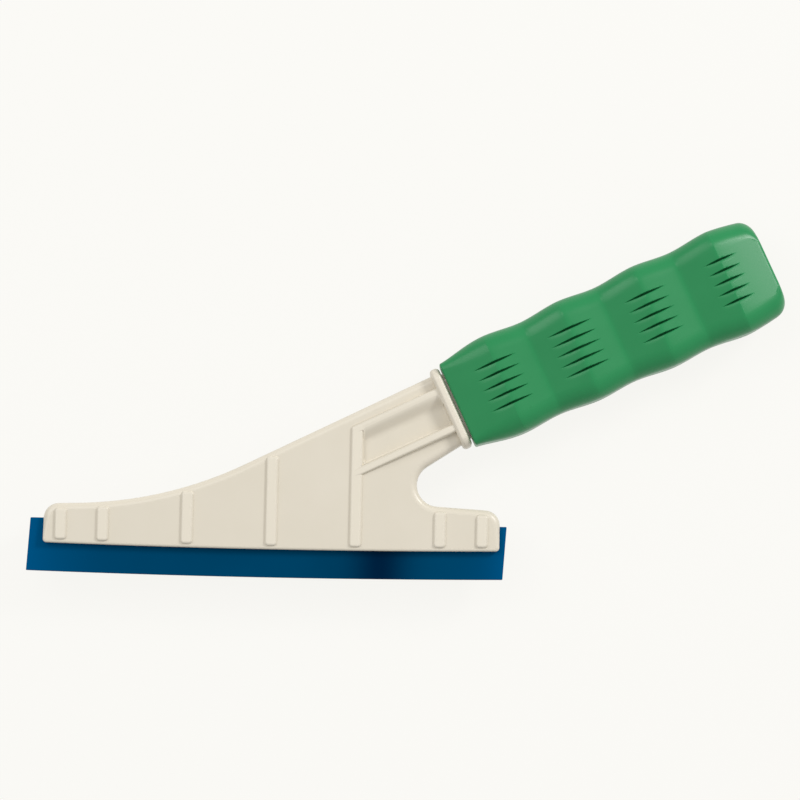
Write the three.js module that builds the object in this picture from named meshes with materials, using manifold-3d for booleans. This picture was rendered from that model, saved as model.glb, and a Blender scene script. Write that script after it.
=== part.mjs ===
// A window film squeegee, lying on its back. A blade slides endways in a slot along the lower edge of a
// holder. The holder is two moulded half shells, face to face, held by screws from the rear. They run on
// as a neck, a collar and a tang, and a soft grip with a waisted outline slips over the tang.
// Millimetres. X runs along the blade, Y away from its wiping edge, Z out of the ribbed face.

import * as THREE from "three";
import Module from "manifold-3d";

const wasm = await Module();
wasm.setup();

// Driving dimensions of the blade
const BLADE_LENGTH = 203.2;
const BLADE_HEIGHT = 22.6;
const BLADE_THICKNESS = 6;
const BLADE_EXPOSED = 12;
const BLADE_END_SKEW = 1.4;
const BLADE_CHAMFER = 0.5;
const BLADE_SHIFT = -2.05;
const WIPING_CROWN = 1.05;
const BLADE_SIDE_CLEARANCE = 0.2;
const BLADE_TOP_CLEARANCE = 0.4;

// Driving dimensions of the holder's outline
const HOLDER_LENGTH = 194.5;
const HOLDER_THICKNESS = 12;
const PARTING_GAP = 0.2;
const ARM_CROWN = 6.1;
const LEFT_ARM_DROP = 0.4;
const LEFT_ARM_TAPER = 1.8;
const RIGHT_ARM_TAPER = 3.2;
const TOP_CORNER_RADIUS = 6.5;
const BOTTOM_CORNER_RADIUS = 1.6;
const SPINE_BLEND_RADIUS = 170;
const NOTCH_RADIUS = 9.3;
const EDGE_FILLET = 2.8;
const BOTTOM_EDGE_FILLET = 1;

// Driving dimensions of the neck, collar and tang
const HANDLE_ANGLE = 25.6;
const HANDLE_INSET = 19.9;
const HANDLE_RISE = 61.5;
const SPINE_LEAN = 0.8;
const NECK_FLARE = 7.6;
const COLLAR_HEIGHT = 36.4;
const COLLAR_WIDTH = 21;
const COLLAR_LENGTH = 4.3;
const COLLAR_CORNER = 5;
const COLLAR_RIM = 1.7;
const COLLAR_LIP_TOP = 2.3;
const COLLAR_LIP_BOTTOM = 2.2;
const TANG_HEIGHT = 30;
const TANG_WIDTH = 14.5;
const TANG_CORNER = 4;
const TANG_TAPER = 1.2;
const TANG_WALL = 3;

// Driving dimensions of the ribs, the pocket and the hollows
const RIB_END_MARGIN = 7.5;
const RIB_WIDTH = 5.2;
const RIB_HEIGHT = 1;
const RIB_DRAFT = 0.3;
const RIB_CORNER = 1.5;
const RIB_BOTTOM_GAP = 1.5;
const RIB_TOP_GAP = 2.1;
const NECK_RIB_OFFSET = 8.4;
const NECK_RIB_WIDTH = 3.9;
const NECK_RIB_RISE = 2.6;
const POCKET_DEPTH = 1.2;
const POCKET_SLOPE = 4;
const WALL = 2.6;

// Driving dimensions of the screws
const SCREW_RADIUS = 1.2;
const SCREW_HEAD_RADIUS = 2.2;
const SCREW_HEAD_HEIGHT = 1.5;
const SCREW_HEAD_SINK = 0.4;
const SCREW_CLEARANCE = 0.15;
const SCREW_END_WALL = 1.2;
const SCREW_SETBACK = 2.9;
const NECK_SCREW_SETBACK = 22;
const BOSS_WALL = 1.6;

// Driving dimensions of the grip
const GRIP_LENGTH = 146.1;
const GRIP_COLLAR_GAP = 0.9;
const GRIP_MOUTH_STEP = 0.8;
const GRIP_SWELL_HEIGHT = 2.45;
const GRIP_SWELL_WIDTH = 2.35;
const GRIP_LENGTH_SWELL = 1.6;
const GRIP_WAVE_HEIGHT = 0.6;
const GRIP_WAVE_WIDTH = 2.2;
const GRIP_FIRST_CREST = 21.6;
const GRIP_LAST_CREST = 19.5;
const GRIP_CORNER = 8;
const GRIP_MOUTH_CORNER = 2.8;
const GRIP_BUTT_CORNER = 5.6;
const GRIP_BUTT_EDGE = 1.2;
const GRIP_BUTT_DROP_HEIGHT = 2.5;
const GRIP_BUTT_DROP_WIDTH = 7;
const GRIP_MOUTH_ROUND = 0.8;
const GRIP_BUTT_WALL = 24;
const GRIP_FIT = 0.3;
const SLIT_LENGTHS = [19.3, 20.5, 18.8, 14.2];
const SLIT_RADIUS = 0.6;
const SLIT_PITCH = 4.7;
const SLIT_RISE = 0.35;

// Fineness of curves: how far a chord may lie from its arc
const CHORD_ERROR = 0.08;

// Places and sizes that follow from the dimensions above
const rad = THREE.MathUtils.degToRad;
const halfLength = HOLDER_LENGTH / 2;
const halfThickness = HOLDER_THICKNESS / 2;
const partingFace = PARTING_GAP / 2;
const holderBottom = BLADE_EXPOSED;
const slotTop = BLADE_HEIGHT + BLADE_TOP_CLEARANCE;
const slotHalf = BLADE_THICKNESS / 2 + BLADE_SIDE_CLEARANCE;
const armEnd = slotTop + ARM_CROWN;
const ribPitch = (HOLDER_LENGTH - 2 * RIB_END_MARGIN) / 5;
const ribPlaces = [-2.5, -2, -1, 0, 1, 2, 2.5].map((step) => step * ribPitch);
const longRib = ribPlaces[4];
const handleAngle = rad(HANDLE_ANGLE);
const collarFace = new THREE.Vector2(halfLength - HANDLE_INSET, holderBottom + HANDLE_RISE);
const along = new THREE.Vector2(Math.cos(handleAngle), Math.sin(handleAngle));
const across = new THREE.Vector2(-along.y, along.x);
const handleMatrix = new THREE.Matrix4().makeRotationZ(handleAngle).setPosition(collarFace.x, collarFace.y, 0);
const neckTop = COLLAR_HEIGHT / 2 - COLLAR_LIP_TOP;
const neckBottom = COLLAR_HEIGHT / 2 - COLLAR_LIP_BOTTOM;
const tangLength = GRIP_COLLAR_GAP + GRIP_LENGTH - GRIP_BUTT_WALL;
const bossRadius = SCREW_RADIUS + BOSS_WALL;
const holeEnd = halfThickness - POCKET_DEPTH - SCREW_END_WALL;

// How far the crowned lower edges hang below a straight line, at a distance from the middle
function crown(x, half) {
  return WIPING_CROWN * (1 - (x / half) ** 2);
}

// A point given by its distance along the handle from the collar's outer face, and across it
function onHandle(s, t) {
  return collarFace.clone().addScaledVector(along, s).addScaledVector(across, t);
}

// The distance along the handle at which a line at a given height across it passes a given X
function handleReach(x, t) {
  return (x - collarFace.x - t * across.x) / along.x;
}

// Where two lines meet, each through a point at an angle in degrees
function crossing(p, pAngle, q, qAngle) {
  const a = new THREE.Vector2(Math.cos(rad(pAngle)), Math.sin(rad(pAngle)));
  const b = new THREE.Vector2(Math.cos(rad(qAngle)), Math.sin(rad(qAngle)));
  const reach = q.clone().sub(p).cross(b) / a.cross(b);
  return p.clone().addScaledVector(a, reach);
}

// Straight edges between corners, each corner rounded by an arc that is limited by its two edges.
// Every point keeps the fillet radius of the moulding's edge there.
function roundedOutline(corners) {
  const count = corners.length;
  const turns = corners.map((corner, i) => {
    const back = corners[(i + count - 1) % count].at.clone().sub(corner.at).normalize();
    const ahead = corners[(i + 1) % count].at.clone().sub(corner.at).normalize();
    const half = Math.acos(THREE.MathUtils.clamp(back.dot(ahead), -1, 1)) / 2;
    return { back, ahead, half, reach: corner.radius / Math.tan(half) };
  });
  const limits = turns.map(() => 1);
  turns.forEach((turn, i) => {
    const next = (i + 1) % count;
    const length = corners[i].at.distanceTo(corners[next].at);
    const share = (0.98 * length) / Math.max(turn.reach + turns[next].reach, 1e-9);
    limits[i] = Math.min(limits[i], share);
    limits[next] = Math.min(limits[next], share);
  });
  const points = [];
  turns.forEach((turn, i) => {
    const corner = corners[i];
    const reach = turn.reach * Math.min(1, limits[i]);
    const radius = reach * Math.tan(turn.half);
    if (radius < 1e-6) {
      points.push({ at: corner.at.clone(), fillet: corner.fillet });
      return;
    }
    const start = corner.at.clone().addScaledVector(turn.back, reach);
    const end = corner.at.clone().addScaledVector(turn.ahead, reach);
    const bisector = turn.back.clone().add(turn.ahead).normalize();
    const centre = corner.at.clone().addScaledVector(bisector, radius / Math.sin(turn.half));
    const from = start.clone().sub(centre);
    const sweep = Math.PI - 2 * turn.half;
    const side = Math.sign(from.cross(end.clone().sub(centre)));
    const steps = Math.ceil(sweep / (2 * Math.acos(1 - Math.min(CHORD_ERROR / radius, 0.5))));
    for (let k = 0; k <= steps; k += 1) {
      const at = from.clone().rotateAround(new THREE.Vector2(), (side * sweep * k) / steps).add(centre);
      points.push({ at, fillet: corner.fillet });
    }
  });
  return points;
}

// The same outline moved inwards, by one distance or by one for each point
function inset(points, distance) {
  const count = points.length;
  return points.map((point, i) => {
    const before = point.at.clone().sub(points[(i + count - 1) % count].at).normalize();
    const after = points[(i + 1) % count].at.clone().sub(point.at).normalize();
    const first = new THREE.Vector2(-before.y, before.x);
    const second = new THREE.Vector2(-after.y, after.x);
    const mitre = first.clone().add(second).divideScalar(1 + first.dot(second));
    return point.at.clone().addScaledVector(mitre, distance(point));
  });
}

// The corners of an outline that runs inside another at a constant distance
function shrunk(corners, distance) {
  const count = corners.length;
  const places = inset(corners, () => distance);
  return corners.map((corner, i) => {
    const before = corner.at.clone().sub(corners[(i + count - 1) % count].at);
    const after = corners[(i + 1) % count].at.clone().sub(corner.at);
    const change = before.cross(after) > 0 ? -distance : distance;
    return { at: places[i], radius: Math.max(0, corner.radius + change), fillet: 0 };
  });
}

// A closed skin over rings of points. Every ring has the same number of points, turns to the left seen
// from the last ring, and is an array of Vector3 in which Z rises from ring to ring.
function skin(rings) {
  const count = rings[0].length;
  const positions = rings.flat().flatMap((point) => point.toArray());
  const flat = (ring) => ring.map((point) => new THREE.Vector2(point.x, point.y));
  const index = [];
  for (let k = 0; k + 1 < rings.length; k += 1) {
    for (let i = 0; i < count; i += 1) {
      const a = k * count + i;
      const b = k * count + ((i + 1) % count);
      index.push(a, b, b + count, a, b + count, a + count);
    }
  }
  const last = (rings.length - 1) * count;
  for (const [a, b, c] of THREE.ShapeUtils.triangulateShape(flat(rings[0]), [])) index.push(a, c, b);
  for (const [a, b, c] of THREE.ShapeUtils.triangulateShape(flat(rings.at(-1)), [])) {
    index.push(last + a, last + b, last + c);
  }
  const geometry = new THREE.BufferGeometry();
  geometry.setAttribute("position", new THREE.Float32BufferAttribute(positions, 3));
  geometry.setIndex(index);
  return geometry;
}

// A flat moulding over an outline, with its upper edge filleted point by point
function plate(points, bottom, top, steps) {
  const lift = (ring, height) => ring.map((at, i) => new THREE.Vector3(at.x, at.y, height(points[i])));
  const rings = [lift(inset(points, () => 0), () => bottom)];
  for (let k = 0; k <= steps; k += 1) {
    const turn = (Math.PI / 2) * (k / Math.max(steps, 1));
    const ring = inset(points, (point) => point.fillet * (1 - Math.cos(turn)));
    rings.push(lift(ring, (point) => top - point.fillet * (1 - Math.sin(turn))));
  }
  return skin(rings);
}

// A raised bar over an outline, with drafted sides and a height that may change from place to place
function raisedBar(points, bottom, top) {
  const low = inset(points, () => 0);
  const high = inset(points, () => RIB_DRAFT);
  const edge = inset(points, () => 2 * RIB_DRAFT);
  return skin([
    low.map((at) => new THREE.Vector3(at.x, at.y, bottom)),
    high.map((at) => new THREE.Vector3(at.x, at.y, top(at) - RIB_DRAFT)),
    edge.map((at) => new THREE.Vector3(at.x, at.y, top(at))),
  ]);
}

// A rectangle with rounded corners, in its own two directions about a middle point
function roundedBox(left, right, low, high, radius, place) {
  const corner = (x, y) => ({ at: place(x, y), radius, fillet: 0 });
  return roundedOutline([corner(left, low), corner(right, low), corner(right, high), corner(left, high)]);
}

// One cross-section of the handle, as a ring at a distance along it
function section(s, halfHeight, halfWidth, radius, steps) {
  const corner = Math.max(0.2, Math.min(radius, halfHeight - 0.2, halfWidth - 0.2));
  const ring = [];
  for (let quarter = 0; quarter < 4; quarter += 1) {
    const sideT = quarter === 0 || quarter === 3 ? 1 : -1;
    const sideZ = quarter < 2 ? 1 : -1;
    for (let k = 0; k <= steps; k += 1) {
      const turn = (Math.PI / 2) * (quarter + k / steps);
      const t = sideT * (halfHeight - corner) + corner * Math.cos(turn);
      const z = sideZ * (halfWidth - corner) + corner * Math.sin(turn);
      ring.push(new THREE.Vector3(t, z, s));
    }
  }
  return ring;
}

// Rings across the handle made into a body that lies along X
function handleSkin(rings) {
  const turn = new THREE.Matrix4().makeBasis(
    new THREE.Vector3(0, 1, 0),
    new THREE.Vector3(0, 0, 1),
    new THREE.Vector3(1, 0, 0),
  );
  return skin(rings).applyMatrix4(turn);
}

function box(x0, x1, y0, y1, z0, z1) {
  const shape = new THREE.BoxGeometry(x1 - x0, y1 - y0, z1 - z0);
  return shape.translate((x0 + x1) / 2, (y0 + y1) / 2, (z0 + z1) / 2);
}

function post(at, radius, bottom, top) {
  const shape = new THREE.CylinderGeometry(radius, radius, top - bottom, 12);
  return shape.rotateX(Math.PI / 2).translate(at.x, at.y, (bottom + top) / 2);
}

// Joining and cutting work on solids
function solid(geometry) {
  const points = new Map();
  const corners = [];
  const position = geometry.getAttribute("position");
  const unique = [];
  const number = (i) => {
    const place = [position.getX(i), position.getY(i), position.getZ(i)];
    const key = place.map((value) => Math.round(value * 1e5)).join(" ");
    if (!points.has(key)) {
      points.set(key, unique.length / 3);
      unique.push(...place);
    }
    return points.get(key);
  };
  const order = geometry.index ? Array.from(geometry.index.array) : [...Array(position.count).keys()];
  for (let i = 0; i < order.length; i += 3) {
    const [a, b, c] = [number(order[i]), number(order[i + 1]), number(order[i + 2])];
    if (a !== b && b !== c && c !== a) corners.push(a, b, c);
  }
  const mesh = new wasm.Mesh({
    numProp: 3,
    vertProperties: new Float32Array(unique),
    triVerts: new Uint32Array(corners),
  });
  return new wasm.Manifold(mesh);
}

function joined(geometries) {
  return geometries.map(solid).reduce((whole, piece) => whole.add(piece));
}

function surface(body) {
  const mesh = body.getMesh();
  const geometry = new THREE.BufferGeometry();
  geometry.setAttribute("position", new THREE.BufferAttribute(new Float32Array(mesh.vertProperties), 3));
  geometry.setIndex(Array.from(mesh.triVerts));
  geometry.computeVertexNormals();
  return geometry;
}

// The other half of a body that is alike on both sides of the parting plane
function mirrored(body) {
  const geometry = surface(body).applyMatrix4(new THREE.Matrix4().makeScale(1, 1, -1));
  const order = geometry.index.array;
  for (let i = 0; i < order.length; i += 3) [order[i + 1], order[i + 2]] = [order[i + 2], order[i + 1]];
  return solid(geometry);
}

// The holder's outline, from its lower left corner round to the left
const neckFace = -COLLAR_LENGTH;
const spineStart = onHandle(neckFace, neckTop);
const throatStart = onHandle(neckFace, -neckBottom);
const leftEnd = new THREE.Vector2(-halfLength, armEnd - LEFT_ARM_DROP);
const rightEnd = new THREE.Vector2(halfLength, armEnd);
const spineAngle = HANDLE_ANGLE + SPINE_LEAN;
const throatAngle = HANDLE_ANGLE + NECK_FLARE;
const notchCorner = crossing(rightEnd, -RIGHT_ARM_TAPER, throatStart, throatAngle);
const spineCorner = crossing(spineStart, spineAngle, leftEnd, LEFT_ARM_TAPER);
const throatEnd = crossing(throatStart, throatAngle, onHandle(-COLLAR_RIM, 0), HANDLE_ANGLE + 90);
const spineEnd = crossing(spineStart, spineAngle, onHandle(-COLLAR_RIM, 0), HANDLE_ANGLE + 90);
const lowLeft = new THREE.Vector2(-halfLength, holderBottom);
const lowRight = new THREE.Vector2(halfLength, holderBottom);
const lowEdge = [-0.75, -0.5, -0.25, 0, 0.25, 0.5, 0.75].map((share) => share * halfLength);
const holderCorners = [
  { at: lowLeft, radius: BOTTOM_CORNER_RADIUS, fillet: BOTTOM_EDGE_FILLET },
  ...lowEdge.map((x) => {
    const at = new THREE.Vector2(x, holderBottom - crown(x, halfLength));
    return { at, radius: 0, fillet: BOTTOM_EDGE_FILLET };
  }),
  { at: lowRight, radius: BOTTOM_CORNER_RADIUS, fillet: BOTTOM_EDGE_FILLET },
  { at: rightEnd, radius: TOP_CORNER_RADIUS, fillet: EDGE_FILLET },
  { at: notchCorner, radius: NOTCH_RADIUS, fillet: EDGE_FILLET },
  { at: throatEnd, radius: 0, fillet: EDGE_FILLET },
  { at: spineEnd, radius: 0, fillet: EDGE_FILLET },
  { at: spineCorner, radius: SPINE_BLEND_RADIUS, fillet: EDGE_FILLET },
  { at: leftEnd, radius: TOP_CORNER_RADIUS, fillet: EDGE_FILLET },
];
const outline = roundedOutline(holderCorners);

// The first place straight above the holder's lower edge where its outline ends
function edgeAbove(x) {
  const heights = [];
  outline.forEach((point, i) => {
    const next = outline[(i + 1) % outline.length].at;
    if ((point.at.x - x) * (next.x - x) > 0 || point.at.x === next.x) return;
    const share = (x - point.at.x) / (next.x - point.at.x);
    const slope = (next.y - point.at.y) / (next.x - point.at.x);
    heights.push({ y: THREE.MathUtils.lerp(point.at.y, next.y, share), slope });
  });
  return heights.filter((height) => height.y > slotTop).sort((a, b) => a.y - b.y)[0];
}

// A bar along the handle between two heights across it. Its left end is upright, at a given X.
function neckBar(x, end, low, high) {
  const corner = (at) => ({ at, radius: RIB_CORNER, fillet: 0 });
  return roundedOutline([
    corner(onHandle(handleReach(x, low), low)),
    corner(onHandle(end, low)),
    corner(onHandle(end, high)),
    corner(onHandle(handleReach(x, high), high)),
  ]);
}

// How far the neck ribs have risen at a place between the long rib and the collar
function neckRise(at) {
  const share = (at.x - longRib) / (onHandle(-COLLAR_RIM, 0).x - longRib);
  return NECK_RIB_RISE * THREE.MathUtils.clamp(share, 0, 1);
}

// The upright ribs, then the two ribs along the neck, which start at the long rib and rise to the collar.
// The upper one has a broad foot on its lower side, which the pocket cuts to a slope.
function ribs() {
  const upright = (x, y) => new THREE.Vector2(x, y);
  const longTop = onHandle(handleReach(longRib, NECK_RIB_OFFSET), NECK_RIB_OFFSET).y;
  const bars = ribPlaces.map((x) => {
    const edge = edgeAbove(x);
    const top = x === longRib ? longTop : edge.y - RIB_TOP_GAP * Math.hypot(1, edge.slope);
    const low = holderBottom - crown(x, halfLength) + RIB_BOTTOM_GAP;
    const foot = roundedBox(x - RIB_WIDTH / 2, x + RIB_WIDTH / 2, low, top, RIB_CORNER, upright);
    return raisedBar(foot, slotHalf + WALL / 2, () => halfThickness + RIB_HEIGHT);
  });
  for (const [offset, broad] of [[-NECK_RIB_OFFSET, 0], [NECK_RIB_OFFSET, POCKET_SLOPE + 2 * RIB_DRAFT]]) {
    const low = offset - NECK_RIB_WIDTH / 2;
    const foot = neckBar(longRib - RIB_WIDTH / 2, -COLLAR_RIM, low - broad, low + NECK_RIB_WIDTH);
    bars.push(raisedBar(foot, slotHalf + WALL / 2, (at) => halfThickness + RIB_HEIGHT + neckRise(at)));
  }
  return bars;
}

// The pocket between the two neck ribs, the long rib and the collar. Its upper wall slopes up to the upper rib.
function pocket() {
  const edge = NECK_RIB_OFFSET - NECK_RIB_WIDTH / 2;
  const ring = (slope, height) => {
    const foot = neckBar(longRib + RIB_WIDTH / 2, -COLLAR_LENGTH - RIB_DRAFT, -edge, edge - slope);
    return foot.map(({ at }) => new THREE.Vector3(at.x, at.y, height(at)));
  };
  return skin([
    ring(POCKET_SLOPE, () => halfThickness - POCKET_DEPTH),
    ring(0, (at) => halfThickness + RIB_HEIGHT + neckRise(at)),
    ring(0, () => COLLAR_WIDTH),
  ]);
}

// The collar and the tang, whole: the shells take a half each
function collarAndTang() {
  const rings = [];
  const collarRing = (s, cut) => {
    rings.push(section(s, COLLAR_HEIGHT / 2 - cut, COLLAR_WIDTH / 2 - cut, COLLAR_CORNER - cut, 5));
  };
  for (let k = 0; k <= 3; k += 1) {
    const turn = (Math.PI / 6) * k;
    collarRing(-COLLAR_LENGTH + COLLAR_RIM * (1 - Math.sin(turn)), COLLAR_RIM * (1 - Math.cos(turn)));
  }
  rings.reverse();
  for (let k = 0; k <= 3; k += 1) {
    const turn = (Math.PI / 6) * k;
    collarRing(-COLLAR_RIM * (1 - Math.sin(turn)), COLLAR_RIM * (1 - Math.cos(turn)));
  }
  const collar = handleSkin(rings);
  const tang = handleSkin(tangRings(-COLLAR_RIM, tangLength, 0));
  return joined([collar, tang]);
}

// The tang narrows towards its end. The grip's bore is the same shape with a clearance.
function tangRings(from, to, clearance) {
  return [from, to].map((s) => {
    const narrow = (TANG_TAPER * s) / tangLength;
    const height = TANG_HEIGHT / 2 - narrow + clearance;
    const width = TANG_WIDTH / 2 - narrow + clearance;
    return section(s, height, width, TANG_CORNER + clearance, 4);
  });
}

// The screws stand midway between the upright ribs, and one stands in the neck's pocket
const screwRow = slotTop + SCREW_SETBACK;
const screwPlaces = ribPlaces.slice(1).map((x, i) => new THREE.Vector2((x + ribPlaces[i]) / 2, screwRow));
const neckScrewPlace = onHandle(-NECK_SCREW_SETBACK, 0);
const rowSeat = halfThickness - SCREW_HEAD_HEIGHT - SCREW_HEAD_SINK;
const neckSeat = rowSeat - POCKET_DEPTH;
const screws = [
  ...screwPlaces.map((at, i) => ({ name: `screw_${i + 1}`, at, seat: rowSeat })),
  { name: "screw_neck", at: neckScrewPlace, seat: neckSeat },
];

// The hollows inside one shell. Each is open at the parting plane, and the screw bosses stand in them.
function hollows() {
  const floor = slotTop + WALL;
  const inner = roundedOutline(shrunk(holderCorners, WALL));
  const main = solid(plate(inner, -1, halfThickness - WALL, 0)).intersect(
    solid(box(-1.5 * ribPitch, longRib - RIB_WIDTH / 2, floor, 2 * collarFace.y, -2, halfThickness)),
  );
  const reach = NECK_RIB_OFFSET + NECK_RIB_WIDTH / 2;
  const start = handleReach(longRib + RIB_WIDTH / 2 + WALL, -reach);
  const roof = halfThickness - POCKET_DEPTH - WALL;
  const neck = solid(plate(roundedBox(start, -COLLAR_LENGTH - WALL, -reach, reach, WALL, onHandle), -1, roof, 0));
  const tangHollow = solid(
    handleSkin(tangRings(WALL, tangLength - WALL, -TANG_WALL)).applyMatrix4(handleMatrix),
  );
  const bosses = joined(screws.map((screw) => post(screw.at, bossRadius, -2, halfThickness)));
  return main.add(neck).subtract(bosses).add(tangHollow);
}

// One half of the holder, as both shells have it
function shellHalf() {
  const half = solid(box(-4 * halfLength, 4 * halfLength, -halfLength, 4 * halfLength, partingFace, 4 * COLLAR_WIDTH));
  const handle = solid(surface(collarAndTang()).applyMatrix4(handleMatrix)).intersect(half);
  const slot = solid(box(-2 * halfLength, 2 * halfLength, 0, slotTop, -1, slotHalf));
  const body = joined([plate(outline, partingFace, halfThickness, 3), ...ribs()]).subtract(solid(pocket()));
  return body.add(handle).subtract(slot).subtract(hollows());
}

// The front shell takes the screws' threads in blind holes, the rear shell has seats for their heads
const alike = shellHalf();
const pilotHoles = joined(screws.map((screw) => post(screw.at, SCREW_RADIUS + SCREW_CLEARANCE, -1, holeEnd)));
const throughHoles = joined(
  screws.flatMap((screw) => [
    post(screw.at, SCREW_RADIUS + SCREW_CLEARANCE, -HOLDER_THICKNESS, 1),
    post(screw.at, SCREW_HEAD_RADIUS + SCREW_CLEARANCE, -HOLDER_THICKNESS, -screw.seat),
  ]),
);

// The blade is a strip with chamfered edges, a crowned wiping edge and ends that lean to one side
function blade() {
  const half = BLADE_THICKNESS / 2;
  const corner = (y, z) => ({ at: new THREE.Vector2(y, z), radius: 0, fillet: 0 });
  const strip = [
    corner(0, -half + BLADE_CHAMFER),
    corner(BLADE_CHAMFER, -half),
    corner(BLADE_HEIGHT - BLADE_CHAMFER, -half),
    corner(BLADE_HEIGHT, -half + BLADE_CHAMFER),
    corner(BLADE_HEIGHT, half - BLADE_CHAMFER),
    corner(BLADE_HEIGHT - BLADE_CHAMFER, half),
    corner(BLADE_CHAMFER, half),
    corner(0, half - BLADE_CHAMFER),
  ];
  const ring = (share) => strip.map(({ at }) => {
    const lean = BLADE_END_SKEW * (at.x / BLADE_HEIGHT - 0.5);
    const low = crown(share, 1) * (1 - at.x / BLADE_HEIGHT);
    return new THREE.Vector3(at.x - low, at.y, BLADE_SHIFT + (share * BLADE_LENGTH) / 2 + lean);
  });
  return handleSkin([-7, -5, -3, -1, 1, 3, 5, 7].map((step) => ring(step / 7)));
}

// The grip swells from its mouth, waves along its length and ends in a rounded butt.
// Its upper and lower edges wave smoothly, and its two sides are flats that meet at crests and valleys.
const gripPitch = (GRIP_LENGTH - GRIP_FIRST_CREST - GRIP_LAST_CREST) / 3;
const lastCrest = GRIP_LENGTH - GRIP_LAST_CREST;
const mouthHeight = COLLAR_HEIGHT / 2 + GRIP_MOUTH_STEP;
const mouthWidth = COLLAR_WIDTH / 2 + GRIP_MOUTH_STEP;

function gripHalfHeight(s) {
  const place = THREE.MathUtils.clamp(s, GRIP_FIRST_CREST, lastCrest);
  const swell = GRIP_SWELL_HEIGHT + (GRIP_LENGTH_SWELL * place) / GRIP_LENGTH;
  const wave = Math.cos((2 * Math.PI * (place - GRIP_FIRST_CREST)) / gripPitch);
  const full = mouthHeight + swell + GRIP_WAVE_HEIGHT * wave;
  const opening = Math.sin((s / GRIP_FIRST_CREST) * Math.PI / 2) ** 1.4;
  if (s < GRIP_FIRST_CREST) return THREE.MathUtils.lerp(mouthHeight, full, opening);
  return full - GRIP_BUTT_DROP_HEIGHT * (Math.max(0, s - lastCrest) / GRIP_LAST_CREST) ** 1.5;
}

function gripHalfWidth(s) {
  const place = THREE.MathUtils.clamp(s, GRIP_FIRST_CREST, lastCrest);
  const phase = (place - GRIP_FIRST_CREST) / gripPitch;
  const zigzag = 1 - 4 * Math.abs(phase - Math.round(phase));
  const full = mouthWidth + GRIP_SWELL_WIDTH + GRIP_WAVE_WIDTH * zigzag;
  if (s < GRIP_FIRST_CREST) return THREE.MathUtils.lerp(mouthWidth, full, s / GRIP_FIRST_CREST);
  return full - GRIP_BUTT_DROP_WIDTH * (Math.max(0, s - lastCrest) / GRIP_LAST_CREST);
}

// The corners are tight at the mouth and open up to the first crest
function gripCorner(s) {
  return THREE.MathUtils.lerp(GRIP_MOUTH_CORNER, GRIP_CORNER, Math.min(1, s / GRIP_FIRST_CREST));
}

function gripBody() {
  const places = [];
  const stretch = (from, to, steps) => {
    for (let k = 0; k < steps; k += 1) places.push(THREE.MathUtils.lerp(from, to, k / steps));
  };
  stretch(GRIP_MOUTH_ROUND, GRIP_FIRST_CREST, 5);
  stretch(GRIP_FIRST_CREST, lastCrest, 24);
  stretch(lastCrest, GRIP_LENGTH - GRIP_BUTT_CORNER, 4);
  const ring = (s, cutHeight, cutWidth) => section(
    s + GRIP_COLLAR_GAP,
    gripHalfHeight(s) - cutHeight,
    gripHalfWidth(s) - cutWidth,
    gripCorner(s) - cutWidth,
    5,
  );
  const rings = [ring(0, GRIP_MOUTH_ROUND, GRIP_MOUTH_ROUND), ...places.map((s) => ring(s, 0, 0))];
  const cut = (radius, left) => radius - Math.sqrt(radius ** 2 - Math.max(0, radius - left) ** 2);
  for (const share of [1, 0.6, 0.32, 0.14, 0.04, 0]) {
    const left = GRIP_BUTT_CORNER * share;
    rings.push(ring(GRIP_LENGTH - left, cut(GRIP_BUTT_CORNER, left), cut(GRIP_BUTT_EDGE, left)));
  }
  return solid(handleSkin(rings));
}

// One slit: a lens-shaped groove that follows the flats on both sides of a crest
function slit(crest, length, t, side) {
  const rings = [-1, -0.6, 0, 0.6, 1].map((share) => {
    const s = crest + (share * length) / 2;
    const radius = SLIT_RADIUS * (1 - share * share) + 0.05;
    const height = side * gripHalfWidth(s);
    return [0, 1, 2, 3, 4, 5].map((k) => {
      const turn = (Math.PI / 3) * k;
      const z = height + radius * Math.sin(turn);
      return new THREE.Vector3(t + radius * Math.cos(turn), z, s + GRIP_COLLAR_GAP);
    });
  });
  return handleSkin(rings);
}

function grip() {
  const slits = [];
  SLIT_LENGTHS.forEach((length, crest) => {
    const at = GRIP_FIRST_CREST + crest * gripPitch;
    for (let row = -2; row <= 2; row += 1) {
      for (const side of [-1, 1]) slits.push(slit(at, length, row * SLIT_PITCH + SLIT_RISE, side));
    }
  });
  const bore = solid(handleSkin(tangRings(-1, tangLength + GRIP_FIT, GRIP_FIT)));
  return gripBody().subtract(bore).subtract(joined(slits));
}

// A pan-head screw with a cross recess, its head towards the rear
function screw(seat) {
  const length = seat + holeEnd - 2 * SCREW_CLEARANCE;
  const profile = [
    [0, length],
    [SCREW_RADIUS * 0.3, length],
    [SCREW_RADIUS, length - 1.5 * SCREW_RADIUS],
    [SCREW_RADIUS, 0],
    [SCREW_HEAD_RADIUS, 0],
    [SCREW_HEAD_RADIUS, -0.45 * SCREW_HEAD_HEIGHT],
    [0.85 * SCREW_HEAD_RADIUS, -0.8 * SCREW_HEAD_HEIGHT],
    [0.5 * SCREW_HEAD_RADIUS, -SCREW_HEAD_HEIGHT],
    [0, -SCREW_HEAD_HEIGHT],
  ].map(([x, y]) => new THREE.Vector2(x, y)).reverse();
  const body = new THREE.LatheGeometry(profile, 12).rotateX(Math.PI / 2);
  const reach = 0.55 * SCREW_HEAD_RADIUS;
  const blade = 0.14 * SCREW_HEAD_RADIUS;
  const top = -SCREW_HEAD_HEIGHT;
  const cross = joined([
    box(-reach, reach, -blade, blade, top - 1, 0.4 * top),
    box(-blade, blade, -reach, reach, top - 1, 0.4 * top),
  ]);
  return solid(body).subtract(cross);
}

// The pieces, each with its own material
const cream = "#ded7c7";
const squeegee = new THREE.Group();
squeegee.name = "window_film_squeegee";

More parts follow.
